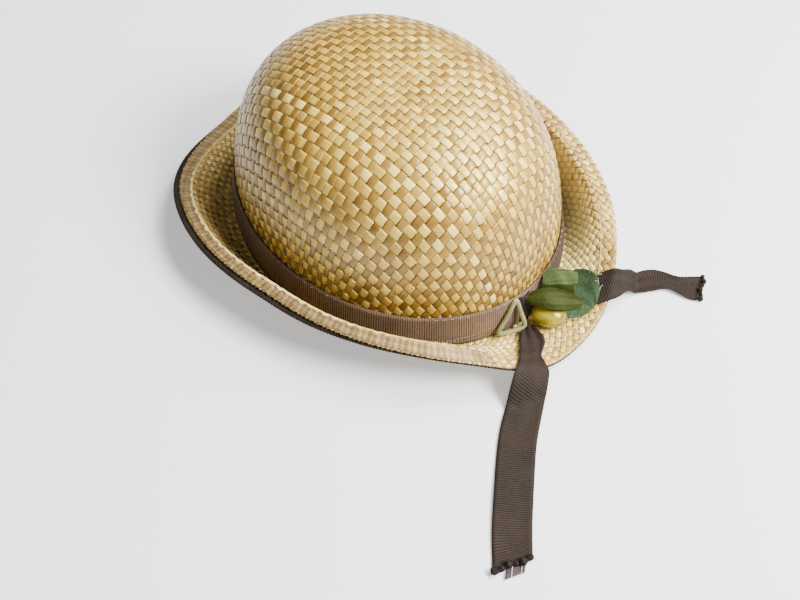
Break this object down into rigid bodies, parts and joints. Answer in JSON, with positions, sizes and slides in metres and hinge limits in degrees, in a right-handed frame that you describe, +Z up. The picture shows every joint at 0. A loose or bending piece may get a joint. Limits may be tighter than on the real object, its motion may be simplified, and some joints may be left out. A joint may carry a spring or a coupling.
{
  "type": "woven straw bonnet hat with ribbon ties",
  "caption": "Round-crowned woven straw bonnet with a brim rolled up at the sides, a ribbon band with loose tails, cloth leaves, a berry and a wire loop.",
  "frame": {"origin": "bottom centre of the whole hat with its ribbon tails, on the surface that it rests on", "axes": "+Z up, +Y towards the back of the hat, where the trim is, +X towards the side that the picture shows nearest"},
  "size_m": [0.2306, 0.3176, 0.108],
  "materials": {
    "straw": "plaited straw, satin",
    "brim_straw": "plaited straw, satin",
    "facing_ribbon": "ribbed ribbon, matt",
    "band_ribbon": "ribbed ribbon, matt",
    "olive_cloth": "satin cloth",
    "pale_green_cloth": "satin cloth",
    "emerald_cloth": "woven cloth, matt",
    "yellow_lacquer": "gloss",
    "wrapped_wire": "matt wrapping"
  },
  "bodies": {
    "root": {"crown": "straw", "brim": "brim_straw", "brim_facing": "facing_ribbon", "hat_band": "band_ribbon", "tie_near": "band_ribbon", "tie_far": "band_ribbon", "leaf_olive": "olive_cloth", "leaf_flap": "pale_green_cloth", "leaf_emerald": "emerald_cloth", "berry": "yellow_lacquer", "wire_loop": "wrapped_wire"}
  },
  "joints": []
}
